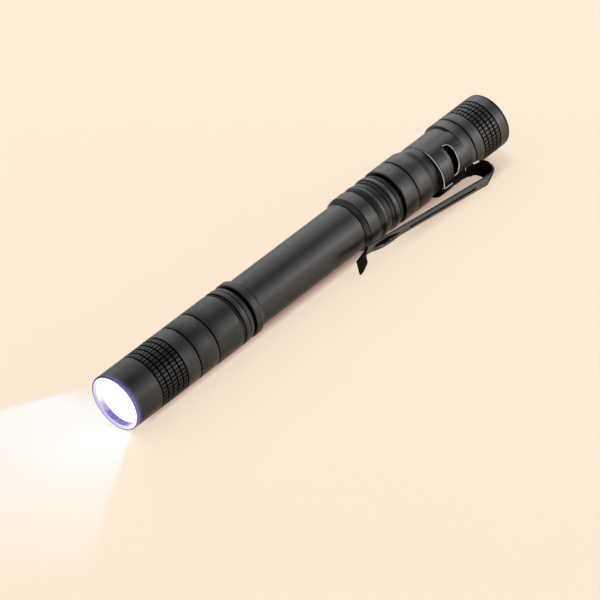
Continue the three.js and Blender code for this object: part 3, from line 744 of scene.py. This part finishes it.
# ---------------------------------------------------------------- carried-over nodes
for n, m in {
    "lens_gasket": M_RUBBER, "reflector": M_MIRROR, "led_base": M_CERAMIC, "led_dome": M_DOME, "led_star_board": M_STAR,
    "led_pill": M_BRASS, "led_lead_positive": M_RED, "led_lead_negative": M_BLACKWIRE, "driver_board": M_PCB,
    "driver_contact_spring": M_STEEL, "front_oring": M_RUBBER, "rear_oring": M_RUBBER,
    "cell_front_nub": M_CELL, "cell_front_can": M_CELL, "cell_front_sleeve": M_SLEEVE,
    "cell_rear_nub": M_CELL, "cell_rear_can": M_CELL, "cell_rear_sleeve": M_SLEEVE,
    "tail_contact_spring": M_STEEL, "switch_retaining_ring": M_BRASS, "switch_contact_board": M_PCB,
    "switch_housing": M_PLASTIC, "switch_plunger": M_WHITE, "switch_return_spring": M_STEEL,
}.items():
    dress(n, m)

# ---------------------------------------------------------------- floor
BEAM = (0.0450, -0.0143, -0.689, 0.595)          # the painted light fan on the table: where it starts (x, y) and its two edges (rad)
bpy.context.scene.view_settings.view_transform = "Standard"
fm, fnt, fb, fo = new_mat("pale_floor")
fv = coords(fnt, (20, 20, 20))
fnt.links.new(mixc(fnt, ramp(fnt, noise(fnt, fv, 1.0, 2), 0.3, 0.7, 0, 1), (0.398, 0.330, 0.264), (0.402, 0.334, 0.267)), fb.inputs["Base Color"])
fb.inputs["Roughness"].default_value = 0.9
# a lit table top: it glows evenly, with a painted contact shadow close to the pen, faintly pink on the clip side
ftc = fnt.nodes.new("ShaderNodeTexCoord")
fsep = fnt.nodes.new("ShaderNodeSeparateXYZ")
fnt.links.new(ftc.outputs["Object"], fsep.inputs[0])
near = math_node(fnt, "SUBTRACT", fsep.outputs["Y"], AY)
left = ramp(fnt, near, -0.0072, -0.003, 1, 0)
right = ramp(fnt, near, 0.0014, 0.0044, 0, 1)
along = ramp(fnt, math_node(fnt, "ABSOLUTE", fsep.outputs["X"]), 0.054, 0.062, 0, 1)
# painted shade, pink and dim, on the strip of floor between the pen and its clip
gap_shade = math_node(fnt, "MULTIPLY", ramp(fnt, fsep.outputs["X"], -0.040, -0.020, 1, 0), ramp(fnt, near, 0.0085, 0.0115, 1, 0))
gap_shade = math_node(fnt, "MULTIPLY", gap_shade, ramp(fnt, near, -0.006, -0.002, 0, 1))
gap_shade = math_node(fnt, "MULTIPLY", gap_shade, ramp(fnt, fsep.outputs["X"], -0.064, -0.056, 0, 1))
lit = math_node(fnt, "MAXIMUM", math_node(fnt, "MAXIMUM", left, right), along)
lit = math_node(fnt, "MULTIPLY", lit, math_node(fnt, "SUBTRACT", 1.0, math_node(fnt, "MULTIPLY", gap_shade, 0.45)))
# painted pool of light: the fan of white light thrown on the table in front of the lens, fading with distance
fx = math_node(fnt, "SUBTRACT", fsep.outputs["X"], BEAM[0])
fy = math_node(fnt, "SUBTRACT", fsep.outputs["Y"], BEAM[1])
bearing = math_node(fnt, "ARCTAN2", fy, fx)
reach = math_node(fnt, "SQRT", math_node(fnt, "ADD", math_node(fnt, "MULTIPLY", fx, fx), math_node(fnt, "MULTIPLY", fy, fy)))
fan = math_node(fnt, "MULTIPLY", ramp(fnt, bearing, BEAM[2] - 0.03, BEAM[2] + 0.04, 0, 1), ramp(fnt, bearing, BEAM[3] - 0.02, BEAM[3] + 0.02, 1, 0))
fan = math_node(fnt, "MULTIPLY", fan, ramp(fnt, reach, 0.022, 0.080, 0.95, 0))
fan = math_node(fnt, "MULTIPLY", fan, ramp(fnt, fsep.outputs["X"], 0.0565, 0.064, 0, 1))
glow_and_shadow_colour = mixc(fnt, lit, (0.90, 0.56, 0.50), (1.0, 0.835, 0.67))
fnt.links.new(mixc(fnt, fan, glow_and_shadow_colour, (1.05, 1.06, 1.08)), fb.inputs["Emission Color"])
fnt.links.new(math_node(fnt, "ADD", math_node(fnt, "MULTIPLY", lit, 0.485), 0.30), fb.inputs["Emission Strength"])
fb.inputs["Specular IOR Level"].default_value = 0.1
bpy.ops.mesh.primitive_plane_add(size=6, location=(0, 0, -0.0001))
floor = bpy.context.object
floor.name = "floor"
floor.data.materials.append(fm)

# ---------------------------------------------------------------- camera
cam_data = bpy.data.cameras.new("cam")
cam_data.sensor_width = 36
cam_data.lens = 240
cam_data.clip_start = 0.05
cam_data.clip_end = 20
cam = bpy.data.objects.new("cam", cam_data)
COLL.objects.link(cam)
RIM = Vector((-41.977, 23.500, 906.486))         # lens rim centre seen from the camera: right, down, forward (mm)
DIR = Vector((-0.66466, 0.51116, -0.54492)).normalized()   # the pen's +X, same axes
E = math.radians(43.17)
up0 = Vector((0, -math.cos(E), -math.sin(E)))
up0 = (up0 - DIR * up0.dot(DIR)).normalized()
side0 = up0.cross(DIR)
roll = -CLIP - math.radians(8.0)
ysl = side0 * math.cos(roll) + up0 * math.sin(roll)
zup = up0 * math.cos(roll) - side0 * math.sin(roll)
to_row = Matrix((DIR, ysl, zup))                 # camera axes to row axes
pos = Vector((X_LENS, AY, AZ)) + (to_row @ (-RIM)) / 1000
right, down, fwd = to_row @ Vector((1, 0, 0)), to_row @ Vector((0, 1, 0)), to_row @ Vector((0, 0, 1))
rot = Matrix((right, -down, -fwd)).transposed()
cam.matrix_world = Matrix.Translation(pos) @ rot.to_4x4()
bpy.context.scene.camera = cam

# ---------------------------------------------------------------- light
world = bpy.data.worlds.new("world")
world.use_nodes = True
world.node_tree.nodes["Background"].inputs[0].default_value = (1.0, 1.0, 1.0, 1)
world.node_tree.nodes["Background"].inputs[1].default_value = 0.075
bpy.context.scene.world = world
MIDDLE = Vector((0, 0, 0.007))


def softbox(name, direction, dist, size, power):
    d = bpy.data.lights.new(name, "AREA")
    d.shape = "RECTANGLE"
    d.size, d.size_y = size
    d.energy = power
    o = bpy.data.objects.new(name, d)
    COLL.objects.link(o)
    z = Vector(direction).normalized()
    x = Vector((1, 0, 0))
    x = (x - z * x.dot(z)).normalized()
    o.matrix_world = Matrix.Translation(MIDDLE + z * dist) @ Matrix((x, z.cross(x), z)).transposed().to_4x4()


def round_pen(deg, back=-0.5):
    """Direction at an angle round the pen (0 = +Y side, 90 = above), leaning towards the tail."""
    c = math.sqrt(1 - back * back)
    return (back, c * math.cos(math.radians(deg)), c * math.sin(math.radians(deg)))


for deg, power in ((8, 3.9), (24, 1.25), (42, 1.0), (84, 0.7), (106, 1.75), (128, 1.15), (148, 1.9), (168, 0.6)):
    softbox("strip_%d" % deg, round_pen(deg), 1.2, (0.8, 0.42), power)
softbox("key_a", (0.55, -0.35, 0.75), 1.6, (0.7, 0.7), 1.1)
softbox("key_b", (0.6, 0.2, 0.8), 1.6, (0.7, 0.7), 1.0)
softbox("key_c", (0.45, -0.75, 0.5), 1.6, (0.7, 0.7), 2.2)
